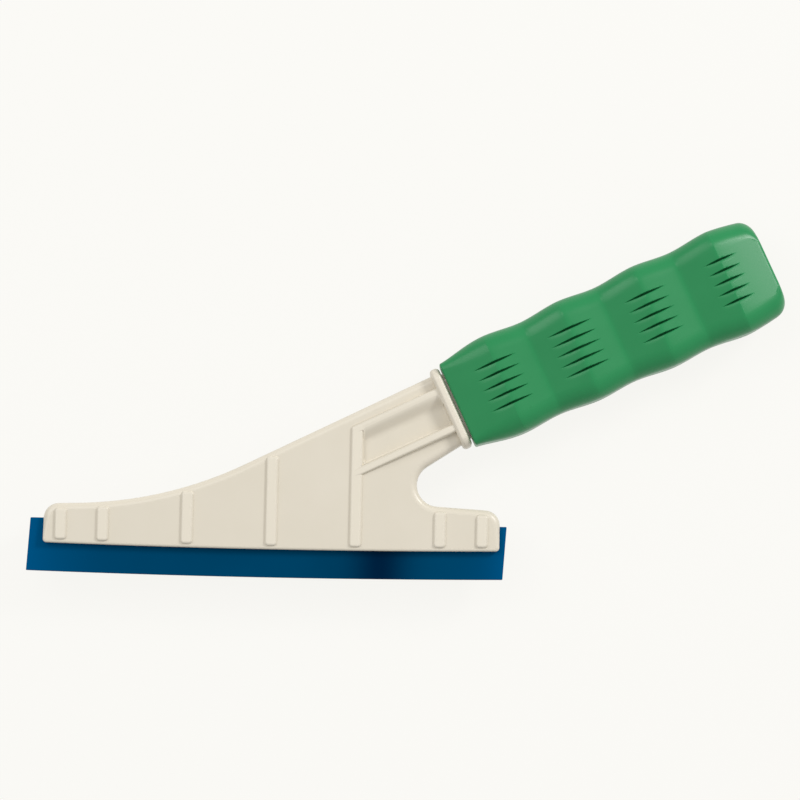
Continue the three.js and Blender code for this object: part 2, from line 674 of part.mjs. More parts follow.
function piece(name, geometry, color, roughness, metalness = 0) {
  const material = new THREE.MeshStandardMaterial({ color, roughness, metalness, flatShading: true });
  const mesh = new THREE.Mesh(geometry, material);
  mesh.name = name;
  return mesh;
}

squeegee.add(piece("front_shell", surface(alike.subtract(pilotHoles)), cream, 0.5));
squeegee.add(piece("rear_shell", surface(mirrored(alike).subtract(throughHoles)), cream, 0.5));
squeegee.add(piece("blade", blade(), "#004061", 0.3));

const handle = new THREE.Group();
handle.position.set(collarFace.x, collarFace.y, 0);
handle.rotation.z = handleAngle;
handle.add(piece("grip", surface(grip()), "#3d895b", 0.7));
squeegee.add(handle);

for (const { name, at, seat } of screws) {
  const fastener = piece(name, surface(screw(seat)), "#b9bcc0", 0.35, 1);
  fastener.position.set(at.x, at.y, -seat - SCREW_CLEARANCE);
  fastener.rotation.z = handleAngle;
  squeegee.add(fastener);
}

// The middle of the lying squeegee's underside is the origin
squeegee.updateMatrixWorld(true);
const bounds = new THREE.Box3().setFromObject(squeegee, true);
const middle = bounds.getCenter(new THREE.Vector3());
squeegee.position.set(-middle.x, -middle.y, -bounds.min.z);
squeegee.updateMatrixWorld(true);

export default squeegee;
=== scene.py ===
# %% [markdown]
# # A window film squeegee
# A fitter presses the water out from under window film with this tool. A blue blade sits in a slot
# between two cream half shells. The shells run on as a neck and a collar, and a green rubber grip slips
# over the tang behind the collar. The tool lies on its back on a pale table, seen from almost straight
# above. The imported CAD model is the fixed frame, and the drawing below starts from its boxes.

# %% Load the frame
import math

import bpy
import numpy as np
from mathutils import Matrix, Quaternion, Vector


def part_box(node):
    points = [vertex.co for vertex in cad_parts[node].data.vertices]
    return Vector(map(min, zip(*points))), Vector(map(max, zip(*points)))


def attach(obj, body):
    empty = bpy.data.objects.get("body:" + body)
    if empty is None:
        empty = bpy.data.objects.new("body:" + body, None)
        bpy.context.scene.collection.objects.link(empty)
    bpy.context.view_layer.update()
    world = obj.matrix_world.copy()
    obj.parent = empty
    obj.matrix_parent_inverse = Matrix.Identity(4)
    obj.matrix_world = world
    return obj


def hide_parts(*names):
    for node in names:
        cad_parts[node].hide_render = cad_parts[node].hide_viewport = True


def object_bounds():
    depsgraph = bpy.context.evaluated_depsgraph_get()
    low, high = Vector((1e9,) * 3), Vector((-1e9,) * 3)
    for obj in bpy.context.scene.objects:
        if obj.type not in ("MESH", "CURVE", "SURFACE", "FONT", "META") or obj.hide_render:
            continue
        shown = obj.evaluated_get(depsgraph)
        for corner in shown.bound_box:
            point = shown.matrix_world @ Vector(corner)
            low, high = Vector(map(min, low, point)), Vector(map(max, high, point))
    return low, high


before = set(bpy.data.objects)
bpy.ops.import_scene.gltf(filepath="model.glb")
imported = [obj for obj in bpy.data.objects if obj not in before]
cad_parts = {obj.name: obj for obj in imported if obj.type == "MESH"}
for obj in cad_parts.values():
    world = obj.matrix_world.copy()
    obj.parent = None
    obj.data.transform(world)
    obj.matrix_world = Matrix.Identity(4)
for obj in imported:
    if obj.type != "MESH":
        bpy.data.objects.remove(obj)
cad_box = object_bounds()
print("CAD nodes:", ", ".join(sorted(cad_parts)))

# %% [markdown]
# The holder is easiest to draw in millimetres, with X along the blade, Y away from the wiping edge and Z
# out of the ribbed face. This drawing starts between the ends of the wiping edge, at the middle of the
# holder's length and thickness. Corners of two CAD boxes say where that point lies in the frame, so one
# step brings any drawn piece into place. The wiping edge and the holder's lower edge are crowned: they
# hang a millimetre lower in the middle than at their ends, so that the fitter's push spreads evenly.

# %% The drawing's starting point
HOLDER_LENGTH, BLADE_EXPOSED, CROWN = 194.5, 12.0, 1.05
shell_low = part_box("front_shell")[0]
blade_low, blade_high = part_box("blade")
start_point = np.array([
    shell_low.x + HOLDER_LENGTH / 2000,
    shell_low.y - (BLADE_EXPOSED - CROWN) / 1000,
    (blade_low.z + blade_high.z) / 2,
])


def crown(x):
    """How far the lower edge hangs at X: the crown times one minus the square of X over half the length."""
    return CROWN * (1 - (2 * x / HOLDER_LENGTH) ** 2)


print("drawing starts at", start_point.round(5), "m")

# %% [markdown]
# Almost every piece here is a skin over rings of points: a plate is its outline at several heights, a
# handle is its cross-section at several places. One function turns such a stack of rings into faces, and
# one puts points and faces into a mesh. The rear shell is the front one mirrored, so its faces are turned
# round.

# %% Skins over rings of points
def skin(rings):
    """Place j of ring i joins place j + 1 and the same two places of ring i + 1. A flat lid closes each
    end."""
    rows, places = rings.shape[:2]
    row, place = np.meshgrid(np.arange(rows - 1), np.arange(places), indexing="ij")
    here, after = row * places + place, row * places + (place + 1) % places
    sides = np.stack([here, after, after + places, here + places], axis=-1).reshape(-1, 4)
    first = np.arange(places)[::-1]
    last = np.arange(places) + (rows - 1) * places
    return rings.reshape(-1, 3), sides.tolist() + [first.tolist(), last.tolist()]


def drawn(name, skins, side=1):
    """A mesh object of one or more skins: each point times 0.001, plus the starting point. Side -1 mirrors
    in Z."""
    points, faces = [], []
    for skin_points, skin_faces in skins:
        offset = sum(len(group) for group in points)
        points.append(skin_points)
        faces += [[corner + offset for corner in face][::side] for face in skin_faces]
    mesh = bpy.data.meshes.new(name)
    mesh.from_pydata(start_point + np.concatenate(points) * [0.001, 0.001, 0.001 * side], [], faces)
    mesh.update()
    thing = bpy.data.objects.new(name, mesh)
    bpy.context.scene.collection.objects.link(thing)
    return thing


def store(piece, name, values, domain="POINT"):
    """One number for every point or face of a piece, under a name that its material can ask for."""
    layer = piece.data.attributes.new(name, "FLOAT", domain)
    layer.data.foreach_set("value", values.ravel().astype(np.float32))


# %% [markdown]
# A moulded shell is one piece, but it is drawn as a plate, ribs, a collar and a tang. Boolean modifiers
# join these and cut the slot and the pocket. The result is kept as a plain mesh and the drawn bodies are
# thrown away. Long flats meet small rounded edges here, so a Weighted Normal modifier keeps them looking
# flat.

# %% Joining, cutting and finishing
def moulded(base, joins=(), cuts=()):
    """The base body with some bodies joined to it and others cut out of it, as one mesh."""
    for operation, bodies in (("UNION", joins), ("DIFFERENCE", cuts)):
        for body in bodies:
            step = base.modifiers.new(body.name, "BOOLEAN")
            step.operation = operation
            step.solver = "MANIFOLD"
            step.object = body
    graph = bpy.context.evaluated_depsgraph_get()
    mesh = bpy.data.meshes.new_from_object(base.evaluated_get(graph))
    base.modifiers.clear()
    base.data = mesh
    for body in (*joins, *cuts):
        bpy.data.objects.remove(body)
    return base


def finished(piece, body, node, sharp=32):
    """Smooth shading up to a sharp angle, and the piece's place in the frame: its body and its
    CAD node."""
    mesh = piece.data
    mesh.polygons.foreach_set("use_smooth", np.ones(len(mesh.polygons), bool))
    mesh.set_sharp_from_angle(angle=math.radians(sharp))
    flats = piece.modifiers.new("Flats stay flat", "WEIGHTED_NORMAL")
    flats.keep_sharp = True
    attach(piece, body)
    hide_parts(node)
    mesh.calc_loop_triangles()
    print(piece.name, len(mesh.loop_triangles), "triangles")
    return piece


# %% [markdown]
# The holder's outline is straight edges between rounded corners. A hand-drawn curve would do for one view,
# but the moulder's drawing has radii, so each corner is an arc that touches both of its edges. The neck
# leaves the holder at the handle's angle: places on it are easier to give along and across the handle than
# in X and Y.

# %% Places along the handle
HANDLE_ANGLE, HANDLE_INSET, HANDLE_RISE = 25.6, 19.9, 61.5
along = np.array([math.cos(math.radians(HANDLE_ANGLE)), math.sin(math.radians(HANDLE_ANGLE))])
across = np.array([-along[1], along[0]])
collar_face = np.array([HOLDER_LENGTH / 2 - HANDLE_INSET, BLADE_EXPOSED + HANDLE_RISE])


def on_handle(s, t):
    """The middle of the collar's face, plus s along the handle, plus t across it."""
    return collar_face + np.multiply.outer(s, along) + np.multiply.outer(t, across)


def handle_reach(x, t):
    """The s at which a line t across the handle passes a given X."""
    return (x - collar_face[0] - t * across[0]) / along[0]


def turned(a, b):
    """How far b lies to the left of a: the cross product in the plane."""
    return a[..., 0] * b[..., 1] - a[..., 1] * b[..., 0]


def crossing(p, p_angle, q, q_angle):
    """Where two lines meet: p plus a reach along its line, (q - p) x b over a x b."""
    a, b = (np.array([math.cos(math.radians(g)), math.sin(math.radians(g))]) for g in (p_angle, q_angle))
    return p + a * turned(q - p, b) / turned(a, b)


print("collar face at", collar_face, "mm")

# %% Rounded outlines and profiles carried round them
def rounded(corners, chord=0.015):
    """Straight edges between corners (place, radius, fillet). The arc of a corner has its centre on the
    bisector, radius over the sine of half the corner's angle away, and steps short enough to stay within a
    chord's height."""
    places = np.array([corner[0] for corner in corners])
    back = np.roll(places, 1, axis=0) - places
    ahead = np.roll(places, -1, axis=0) - places
    back /= np.linalg.norm(back, axis=1, keepdims=True)
    ahead /= np.linalg.norm(ahead, axis=1, keepdims=True)
    half = np.arccos(np.sum(back * ahead, axis=1)) / 2
    arcs = []
    for i, (place, radius, fillet) in enumerate(corners):
        middle = (back[i] + ahead[i]) / np.linalg.norm(back[i] + ahead[i])
        centre = place + middle * radius / math.sin(half[i])
        first = place + back[i] * radius / math.tan(half[i]) - centre
        last = place + ahead[i] * radius / math.tan(half[i]) - centre
        sweep = math.copysign(math.pi - 2 * half[i], turned(first, last))
        steps = math.ceil(abs(sweep) / math.sqrt(8 * chord / radius)) if radius else 0
        turn = np.linspace(0, sweep, steps + 1)[:, None]
        arc = centre + first * np.cos(turn) + np.array([-first[1], first[0]]) * np.sin(turn)
        arcs.append(np.column_stack([arc, np.full(len(arc), fillet)]))
    return np.concatenate(arcs)


def carried(outline, inset, height):
    """A profile carried round an outline: ring i is the outline moved inwards by inset i, at height i. The
    step inwards at a point is the sum of its two edges' left normals over one plus their dot product."""
    ahead = np.roll(outline[:, :2], -1, axis=0) - outline[:, :2]
    ahead /= np.linalg.norm(ahead, axis=1, keepdims=True)
    left = np.stack([-ahead[:, 1], ahead[:, 0]], axis=1)
    before = np.roll(left, 1, axis=0)
    inward = (left + before) / (1 + np.sum(left * before, axis=1, keepdims=True))
    shape = (len(inset), len(outline))
    inset, height = np.broadcast_to(inset, shape), np.broadcast_to(height, shape)
    return np.concatenate([outline[:, :2] + inset[:, :, None] * inward, height[:, :, None]], axis=2)


# %% The holder's outline
ARM_END, LEFT_END_DROP, SPINE_ACROSS, THROAT_ACROSS = 29.1, 0.4, 15.9, -16.0
TOP_CORNER, LOWER_CORNER, NOTCH_RADIUS, SPINE_RADIUS = 6.5, 1.6, 9.3, 170.0
ARM_SLOPE, SPINE_SLOPE, THROAT_SPLAY, NECK_SPLAY = -3.2, 1.8, 7.6, 0.8
COLLAR_LENGTH, COLLAR_RIM = 4.3, 1.7
EDGE_FILLET, LOWER_FILLET, CROWN_PLACES = 2.8, 1.0, 33
half_length = HOLDER_LENGTH / 2
left_end, right_end = np.array([-half_length, ARM_END - LEFT_END_DROP]), np.array([half_length, ARM_END])
spine, throat = on_handle(-COLLAR_LENGTH, SPINE_ACROSS), on_handle(-COLLAR_LENGTH, THROAT_ACROSS)
under_collar = on_handle(-COLLAR_RIM, 0.0)
upright_way, throat_way, neck_way = (HANDLE_ANGLE + turn for turn in (90, THROAT_SPLAY, NECK_SPLAY))
lower_edge = np.linspace(-half_length, half_length, CROWN_PLACES)[1:-1]
holder_outline = rounded([
    (np.array([-half_length, BLADE_EXPOSED]), LOWER_CORNER, LOWER_FILLET),
    *[(np.array([x, BLADE_EXPOSED - crown(x)]), 0.0, LOWER_FILLET) for x in lower_edge],
    (np.array([half_length, BLADE_EXPOSED]), LOWER_CORNER, LOWER_FILLET),
    (right_end, TOP_CORNER, EDGE_FILLET),
    (crossing(right_end, ARM_SLOPE, throat, throat_way), NOTCH_RADIUS, EDGE_FILLET),
    (crossing(throat, throat_way, under_collar, upright_way), 0.0, EDGE_FILLET),
    (crossing(spine, neck_way, under_collar, upright_way), 0.0, EDGE_FILLET),
    (crossing(spine, neck_way, left_end, SPINE_SLOPE), SPINE_RADIUS, EDGE_FILLET),
    (left_end, TOP_CORNER, EDGE_FILLET),
])
print("holder outline has", len(holder_outline), "points")

# %% [markdown]
# The plate of a shell is a flat moulding with a large round along its upper edge and a small one over the
# blade. A Bevel modifier would give one radius everywhere, so the round is a quarter circle carried round
# the outline, and each point brings its own radius. A narrow ring inside the round keeps the flat face
# flat. A small break along the parting plane gives the seam line between the two shells.

# %% The plate
FACE, PARTING, SEAM_BREAK, FLAT_RING = 6.0, 0.1, 0.2, 0.3
quarter = np.linspace(0, math.pi / 2, 7)[:, None]


def plate():
    """Inset and height of the rings: the parting edge's break, the wall, a quarter circle of the point's
    fillet radius (radius times one minus the cosine inwards, radius times one minus the sine below the
    face), a flat ring."""
    fillet = holder_outline[:, 2]
    whole = np.ones_like(fillet)
    inset = np.vstack([SEAM_BREAK * whole, 0 * whole, fillet * (1 - np.cos(quarter)), fillet + FLAT_RING])
    round_height = FACE - fillet * (1 - np.sin(quarter))
    height = np.vstack([PARTING * whole, (PARTING + SEAM_BREAK) * whole, round_height, FACE * whole])
    return skin(carried(holder_outline, inset, height))


def face_height(places):
    """The plate's surface at points of the drawing: the face, or the round where the nearest edge is less
    than a fillet away, at the fillet's centre plus the root of radius squared less distance squared."""
    ends = np.roll(holder_outline, -1, axis=0)
    edge = ends[:, :2] - holder_outline[:, :2]
    offset = places[..., None, :] - holder_outline[:, :2]
    share = np.clip(np.sum(offset * edge, axis=-1) / np.sum(edge * edge, axis=-1), 0, 1)
    distance = np.linalg.norm(offset - share[..., None] * edge, axis=-1)
    nearest = np.argmin(distance, axis=-1)
    fillet = holder_outline[nearest, 2]
    short = np.clip(fillet - np.min(distance, axis=-1), 0, fillet)
    return FACE - fillet + np.sqrt(fillet**2 - short**2)


print("plate face", FACE, "mm from the parting plane")

# %% [markdown]
# Ribs stiffen the thin plate. Each is a bar with a softly rounded top edge, and a hollow round at its root,
# because plastic shrinks away from sharp inner corners. A box with a Bevel has no root, so the rib is a
# profile too: a hollow quarter circle, a drafted side and a quarter of an ellipse, carried round a rounded
# foot. The two ribs along the neck grow taller towards the collar, and a block below the upper one is there
# for the pocket to cut to a slope.

# %% The ribs' profile
RIB_ROOT, RIB_ROUND, RIB_DROP, RIB_HEIGHT, RIB_DRAFT = 0.2, 1.0, 0.6, 1.0, 0.12
RIB_SINK, RIB_SINK_INSET, ROOT_SINK, RIB_FLAT_RING = 1.5, 0.4, 0.03, 0.2
RIB_CORNER, RIB_CHORD = 1.5, 0.008
root_turn = np.linspace(0, math.pi / 2, 5)
top_turn = np.linspace(0, math.pi / 2, 6)
rib_inset = np.concatenate([
    [RIB_SINK_INSET],
    RIB_ROOT * (np.sin(root_turn) - 1),
    RIB_DRAFT + RIB_ROUND * (1 - np.cos(top_turn)),
    [RIB_DRAFT + RIB_ROUND + RIB_FLAT_RING],
])
rib_rise = np.concatenate([
    [-RIB_SINK],
    RIB_ROOT * (1 - np.cos(root_turn)),
    RIB_HEIGHT - RIB_DROP * (1 - np.sin(top_turn)),
    [RIB_HEIGHT],
])
rib_rise[1] = -ROOT_SINK


def rib(foot, extra=lambda places: 0 * places[..., 0]):
    """The profile on the plate's surface. Up to the root's end it follows that surface, and above it the
    height is stretched so that the top stands the rib's height plus the extra above the face."""
    rings = carried(foot, rib_inset[:, None], rib_rise[:, None])
    rise = rings[..., 2]
    lift = np.clip(rise / RIB_ROOT, 0, 1)
    stretch = 1 + extra(rings[..., :2]) / (RIB_HEIGHT - RIB_ROOT)
    above = np.minimum(rise, RIB_ROOT) + np.maximum(rise - RIB_ROOT, 0) * stretch
    rings[..., 2] = (1 - lift) * face_height(rings[..., :2]) + lift * FACE + above
    return skin(rings)


def rib_foot(corners):
    """A foot with rounded corners through four places of the drawing."""
    return rounded([(np.array(corner), RIB_CORNER, 0.0) for corner in corners], RIB_CHORD)


print("ribs stand", RIB_HEIGHT, "mm above the face")

# %% The ribs
RIB_WIDTH, NECK_RIB_WIDTH, NECK_RIB_OFFSET, NECK_RIB_RISE = 5.2, 3.9, 8.4, 2.6
RIB_END_MARGIN, RIB_LOWER_GAP, RIB_UPPER_GAP = 7.5, 1.5, 2.1
SLOPE_BLOCK_DEPTH, SLOPE_BLOCK_OVERLAP, SLOT_TOP = 4.2, 0.3, 23.0
rib_pitch = (HOLDER_LENGTH - 2 * RIB_END_MARGIN) / 5
rib_places = rib_pitch * np.array([-2.5, -2, -1, 0, 1, 2, 2.5])
long_rib = rib_places[4]


def edge_over(x):
    """Height and slope of the outline's first edge straight above the slot at X."""
    ends = np.roll(holder_outline, -1, axis=0)
    step = ends[:, :2] - holder_outline[:, :2]
    spans = (holder_outline[:, 0] - x) * (ends[:, 0] - x) < 0
    slope = step[spans, 1] / step[spans, 0]
    height = holder_outline[spans, 1] + (x - holder_outline[spans, 0]) * slope
    over = np.where(height > SLOT_TOP, height, np.inf).argmin()
    return height[over], slope[over]


def upright_rib(x):
    """From a gap above the lower edge to a gap below the upper one, or to the upper neck rib."""
    height, slope = edge_over(x)
    top = height - RIB_UPPER_GAP * math.hypot(1, slope)
    if x == long_rib:
        top = on_handle(handle_reach(x, NECK_RIB_OFFSET), NECK_RIB_OFFSET)[1]
    low = BLADE_EXPOSED - crown(x) + RIB_LOWER_GAP
    left, right = x - RIB_WIDTH / 2, x + RIB_WIDTH / 2
    return rib(rib_foot([(left, low), (right, low), (right, top), (left, top)]))


def neck_bar(x, end, low, high):
    """A foot along the handle between two heights across it, with an upright left end at X."""
    corners = [(handle_reach(x, low), low), (end, low), (end, high), (handle_reach(x, high), high)]
    return rib_foot([on_handle(*corner) for corner in corners])


def neck_rise(places):
    """Growth of the neck ribs: nothing at the long rib, all of it at the collar, in step with X."""
    return NECK_RIB_RISE * np.clip((places[..., 0] - long_rib) / (under_collar[0] - long_rib), 0, 1)


def neck_rib(offset):
    """From the long rib's left side to the collar."""
    low, high = offset - NECK_RIB_WIDTH / 2, offset + NECK_RIB_WIDTH / 2
    return rib(neck_bar(long_rib - RIB_WIDTH / 2, -COLLAR_RIM, low, high), neck_rise)


def slope_block():
    """A bar below the upper neck rib, from just inside the long rib's right side to the collar."""
    low = NECK_RIB_OFFSET - NECK_RIB_WIDTH / 2 - SLOPE_BLOCK_DEPTH
    left = long_rib + RIB_WIDTH / 2 - SLOPE_BLOCK_OVERLAP
    return rib(neck_bar(left, -COLLAR_RIM, low, NECK_RIB_OFFSET), neck_rise)


upright_ribs = [upright_rib(x) for x in rib_places]
neck_ribs = [neck_rib(-NECK_RIB_OFFSET), neck_rib(NECK_RIB_OFFSET)]
print("ribs at X", rib_places.round(1), "mm")

# %% [markdown]
# Between the neck ribs the moulder sank a pocket. Three of its walls stand upright, and the upper one
# slopes back to the upper rib. It is cut out, so its body is drawn as the space that it leaves: one outline
# after another from the floor up the slope, and at last straight up. The slot is cut in the same way.

# %% The pocket and the slot
POCKET_DEPTH, POCKET_SLOPE, POCKET_ROUND, POCKET_FLOOR_ROUND = 1.2, 6.2, 0.45, 0.7
POCKET_TOP_INSET, POCKET_END_GAP, POCKET_LID = 0.6, 0.3, 4.0
SLOT_HALF, SLOT_LEAD, SLOT_FLARE, SLOT_BELOW, SLOT_BEYOND = 3.2, 0.5, 0.4, 5, 9


def pocket():
    """Rings at a share q of the way across the slope: the upper edge lies (1 - q) times the slope's width
    inside, at q squared times (3 - 2q) of the height from the floor to the upper rib's top, which is an S.
    Each ring is moved a little inwards at the floor and outwards at the top, which rounds the other three
    walls."""
    left, low = long_rib + RIB_WIDTH / 2, NECK_RIB_WIDTH / 2 - NECK_RIB_OFFSET
    upper_edge = NECK_RIB_OFFSET - POCKET_TOP_INSET
    rings = []
    for q in np.append(np.linspace(0, 1, 13), 1.5):
        share = q * q * (3 - 2 * q) if q <= 1 else POCKET_LID
        floor_round = POCKET_FLOOR_ROUND * max(0, 1 - 4 * q) ** 2
        top_round = POCKET_ROUND * max(0, 4 * min(q, 1) - 3) ** 2
        slope = POCKET_SLOPE * (1 - min(q, 1))
        foot = neck_bar(left, -COLLAR_LENGTH - POCKET_END_GAP, low, upper_edge - slope)
        ring = carried(foot, np.array([[floor_round - top_round]]), np.array([[0.0]]))
        ring[..., 2] = FACE - POCKET_DEPTH + share * (POCKET_DEPTH + RIB_HEIGHT + neck_rise(ring))
        rings.append(ring)
    return skin(np.concatenate(rings))


def slot():
    """A rectangle carried along X, with its jaws opened a little at the lower edge."""
    low, jaw = BLADE_EXPOSED, SLOT_HALF + SLOT_FLARE
    section = np.array([
        [-SLOT_BELOW, -1], [SLOT_TOP, -1], [SLOT_TOP, SLOT_HALF],
        [low + SLOT_LEAD, SLOT_HALF], [low, jaw], [-SLOT_BELOW, jaw],
    ])
    ends = (-half_length - SLOT_BEYOND, half_length + SLOT_BEYOND)
    return skin(np.stack([np.insert(section, 0, x, axis=1) for x in ends]))


print("pocket", POCKET_DEPTH, "mm deep, slot", 2 * SLOT_HALF, "mm wide")

# %% The screws' places and seats
SCREW_HEAD_RADIUS, SCREW_HEAD_HEIGHT, SCREW_CLEARANCE, HEAD_SINK = 2.2, 1.5, 0.15, 0.4
SCREW_ABOVE_SLOT, NECK_SCREW, SEAT_CHAMFER, SEAT_REACH = 2.9, -22.0, 0.25, 6


def turned_body(place, radius, height, places=40):
    """Circles of the given radii at the given heights, about an upright line through a place."""
    angle = np.linspace(0, 2 * math.pi, places, endpoint=False)
    radius, height = np.asarray(radius)[:, None], np.asarray(height)[:, None]
    rings = [place[0] + radius * np.cos(angle), place[1] + radius * np.sin(angle), height + 0 * angle]
    return np.stack(rings, axis=2)


screw_places = [np.array([x, SLOT_TOP + SCREW_ABOVE_SLOT]) for x in (rib_places[1:] + rib_places[:-1]) / 2]
screw_places.append(on_handle(NECK_SCREW, 0.0))
screw_faces = [FACE] * 6 + [FACE - POCKET_DEPTH]


def screw_seat(place, face):
    """A round hole for a screw head, with a small chamfer where it opens in the face."""
    hole = SCREW_HEAD_RADIUS + SCREW_CLEARANCE
    wide = hole + 2 * SEAT_CHAMFER
    floor = face - SCREW_HEAD_HEIGHT - HEAD_SINK
    height = [floor, face - SEAT_CHAMFER, face + SEAT_CHAMFER, FACE + SEAT_REACH]
    return skin(turned_body(place, [hole, hole, wide, wide], height))


print("screws at", [place.round(1).tolist() for place in screw_places])

# %% [markdown]
# Each shell carries half of the collar and half of the tang. Both are half of a rounded rectangle, swept
# along the handle: the collar is a short bead with a round on each side, the tang tapers so that the grip
# draws tight.

# %% The collar and the tang
COLLAR_HEIGHT, COLLAR_WIDTH, COLLAR_CORNER = 36.4, 21.0, 5.0
TANG_HEIGHT, TANG_WIDTH, TANG_CORNER = 30.0, 14.5, 4.0
TANG_TAPER, TANG_LENGTH, TANG_ROUND = 1.2, 123.0, 1.0


def half_sections(s, height, width, corner):
    """Rings across the handle at s: a straight side, a quarter circle, the face, a quarter circle and a
    straight side, closed along the parting plane. Heights and widths are halves, measured from the handle's
    middle."""
    turn = np.linspace(0, math.pi / 2, 9)
    s, h, w, r = (np.asarray(value, float)[:, None] for value in (s, height, width, corner))
    seam = PARTING + 0 * h
    t = np.hstack([h, h - r + r * np.cos(turn), r - h - r * np.sin(turn), -h])
    z = np.hstack([seam, w - r + r * np.sin(turn), w - r + r * np.cos(turn), seam])
    return np.concatenate([on_handle(s + 0 * t, t), z[..., None]], axis=2)


def half_collar():
    """The left round, from its end outwards, then the right one: rim times one minus the cosine comes off
    the size."""
    turn = np.linspace(0, math.pi / 2, 7)
    cut = COLLAR_RIM * (1 - np.cos(turn))
    step = COLLAR_RIM * (1 - np.sin(turn))
    s = np.concatenate([(step - COLLAR_LENGTH)[::-1], -step])
    cut = np.concatenate([cut[::-1], cut])
    return skin(half_sections(s, COLLAR_HEIGHT / 2 - cut, COLLAR_WIDTH / 2 - cut, COLLAR_CORNER - cut))


def half_tang():
    """A straight taper that ends in a round. The corner's radius shrinks half as fast as the section."""
    turn = np.linspace(0, math.pi / 2, 5)
    s = np.concatenate([[-COLLAR_RIM], TANG_LENGTH - TANG_ROUND + TANG_ROUND * np.sin(turn)])
    cut = TANG_TAPER * s / TANG_LENGTH + np.concatenate([[0], TANG_ROUND * (1 - np.cos(turn))])
    return skin(half_sections(s, TANG_HEIGHT / 2 - cut, TANG_WIDTH / 2 - cut, TANG_CORNER - 0.5 * cut))


print("tang", TANG_LENGTH, "mm long")

# %% [markdown]
# Now each shell is put together. Its flat rib tops are painted a little paler than the rest, a painted
# highlight. A number for every face tells the material which faces those are.

# %% The two shells
# Faces this far above the plate's face, and this square to it, get the painted highlight.
HIGHLIGHT_ABOVE, HIGHLIGHT_FACING = 0.6, 0.985


def shell(name, side):
    """The plate with its ribs, collar and tang, less the pocket and the slot. The rear one has the screw
    seats."""
    joins = [
        ("ribs", upright_ribs), ("neck_ribs", neck_ribs), ("slope_block", [slope_block()]),
        ("collar", [half_collar()]), ("tang", [half_tang()]),
    ]
    cuts = [("pocket", [pocket()]), ("slot", [slot()])]
    if side < 0:
        cuts.append(("seats", [screw_seat(*seat) for seat in zip(screw_places, screw_faces)]))
    base = drawn(name, [plate()], side)
    moulded(base, [drawn(*body, side) for body in joins], [drawn(*body, side) for body in cuts])
    return finished(base, "holder", name.replace("moulded_", ""))


def paint_top_highlight(piece):
    """A number for every face, which places the painted highlight: one where it looks straight out and lies
    well above the plate's face.
    """
    faces = piece.data.polygons
    middle, outward = np.empty(3 * len(faces)), np.empty(3 * len(faces))
    faces.foreach_get("center", middle)
    faces.foreach_get("normal", outward)
    high = np.abs(middle[2::3] - start_point[2]) > (FACE + HIGHLIGHT_ABOVE) / 1000
    top = high & (np.abs(outward[2::3]) > HIGHLIGHT_FACING)
    store(piece, "painted_top_highlight", top, "FACE")
    print(piece.name, top.sum(), "burnished faces")


front_shell = shell("moulded_front_shell", 1)
rear_shell = shell("moulded_rear_shell", -1)
paint_top_highlight(front_shell)
paint_top_highlight(rear_shell)

# %% [markdown]
# The blade is a strip cut from a cast sheet, with its edges just broken and its two ends cut at a slight
# lean. A rounded rectangle carried along X gives it, with the lean added as a shift that grows with Y. Two
# numbers for every point go with it. One says how near an end it is, where the blue is painted lighter as
# painted light for light entering the clear-edged plastic. The other places a painted dark reflection, a
# darker patch right of the middle.

# %% The blade
BLADE_LENGTH, BLADE_HEIGHT, BLADE_THICKNESS = 203.2, 22.6, 6.0
BLADE_SHIFT, BLADE_LEAN, BLADE_CROWN = -2.05, 1.4, 1.02
BLADE_END_ROUND, BLADE_EDGE_ROUND, BLADE_CHORD = 0.35, 0.5, 0.004
LEFT_GLOW, RIGHT_GLOW, REFLECTION_PLACE, REFLECTION_REACH = 26, 11, 46.5, 12


def blade_rings():
    """Rings of the strip's section along X. Near each end the section shrinks by a quarter circle. The
    wiping edge hangs by the crown times one minus the square of X over half the length, and the other edge
    not at all."""
    turn = np.linspace(0, math.pi / 2, 4)
    cut = BLADE_END_ROUND * (1 - np.cos(turn))
    step = BLADE_END_ROUND * (1 - np.sin(turn))
    middle = np.linspace(-1, 1, 61)[1:-1] * (BLADE_LENGTH / 2 - BLADE_END_ROUND)
    x = np.concatenate([(step - BLADE_LENGTH / 2)[::-1], middle, BLADE_LENGTH / 2 - step])
    shrink = np.concatenate([cut[::-1], 0 * middle, cut])
    half = BLADE_THICKNESS / 2
    corners = [(0.0, -half), (BLADE_HEIGHT, -half), (BLADE_HEIGHT, half), (0.0, half)]
    section = rounded([(np.array(corner), BLADE_EDGE_ROUND, 0.0) for corner in corners], BLADE_CHORD)
    rings = carried(section, shrink[:, None], x[:, None])
    height_share = rings[..., 0] / BLADE_HEIGHT
    lean = BLADE_LEAN * (height_share - 0.5)
    hang = BLADE_CROWN * (1 - (2 * x[:, None] / BLADE_LENGTH) ** 2) * (1 - height_share)
    return np.stack([rings[..., 2] + lean + BLADE_SHIFT, rings[..., 0] - hang, rings[..., 1]], axis=2)


blade_points = blade_rings()
blade = drawn("cast_blade", [skin(blade_points)])
along_blade = blade_points[..., 0] - BLADE_SHIFT
left_glow = np.exp(-(BLADE_LENGTH / 2 + along_blade).clip(0) / LEFT_GLOW)
right_glow = np.exp(-(BLADE_LENGTH / 2 - along_blade).clip(0) / RIGHT_GLOW)
# Painted light: the blue is painted lighter towards the ends.
store(blade, "painted_end_light", left_glow + right_glow)
# A painted dark reflection: a darker patch right of the middle of the blade.
store(blade, "painted_dark_reflection", np.exp(-(((blade_points[..., 0] - REFLECTION_PLACE) / REFLECTION_REACH) ** 2)))
finished(blade, "blade", "blade")

# %% [markdown]
# The grip is soft rubber, moulded over four swells. Seen from the side its upper and lower edges wave, and
# its two broad faces are flats that meet in crests and valleys, like a roof of many pitches. Sculpting
# would lose those crisp lines, so the whole skin is one grid: rows along the handle, columns round it, and
# a half height, a half width and a corner radius for every row. The rows run up the bore, over the mouth
# and along the outside to the butt.

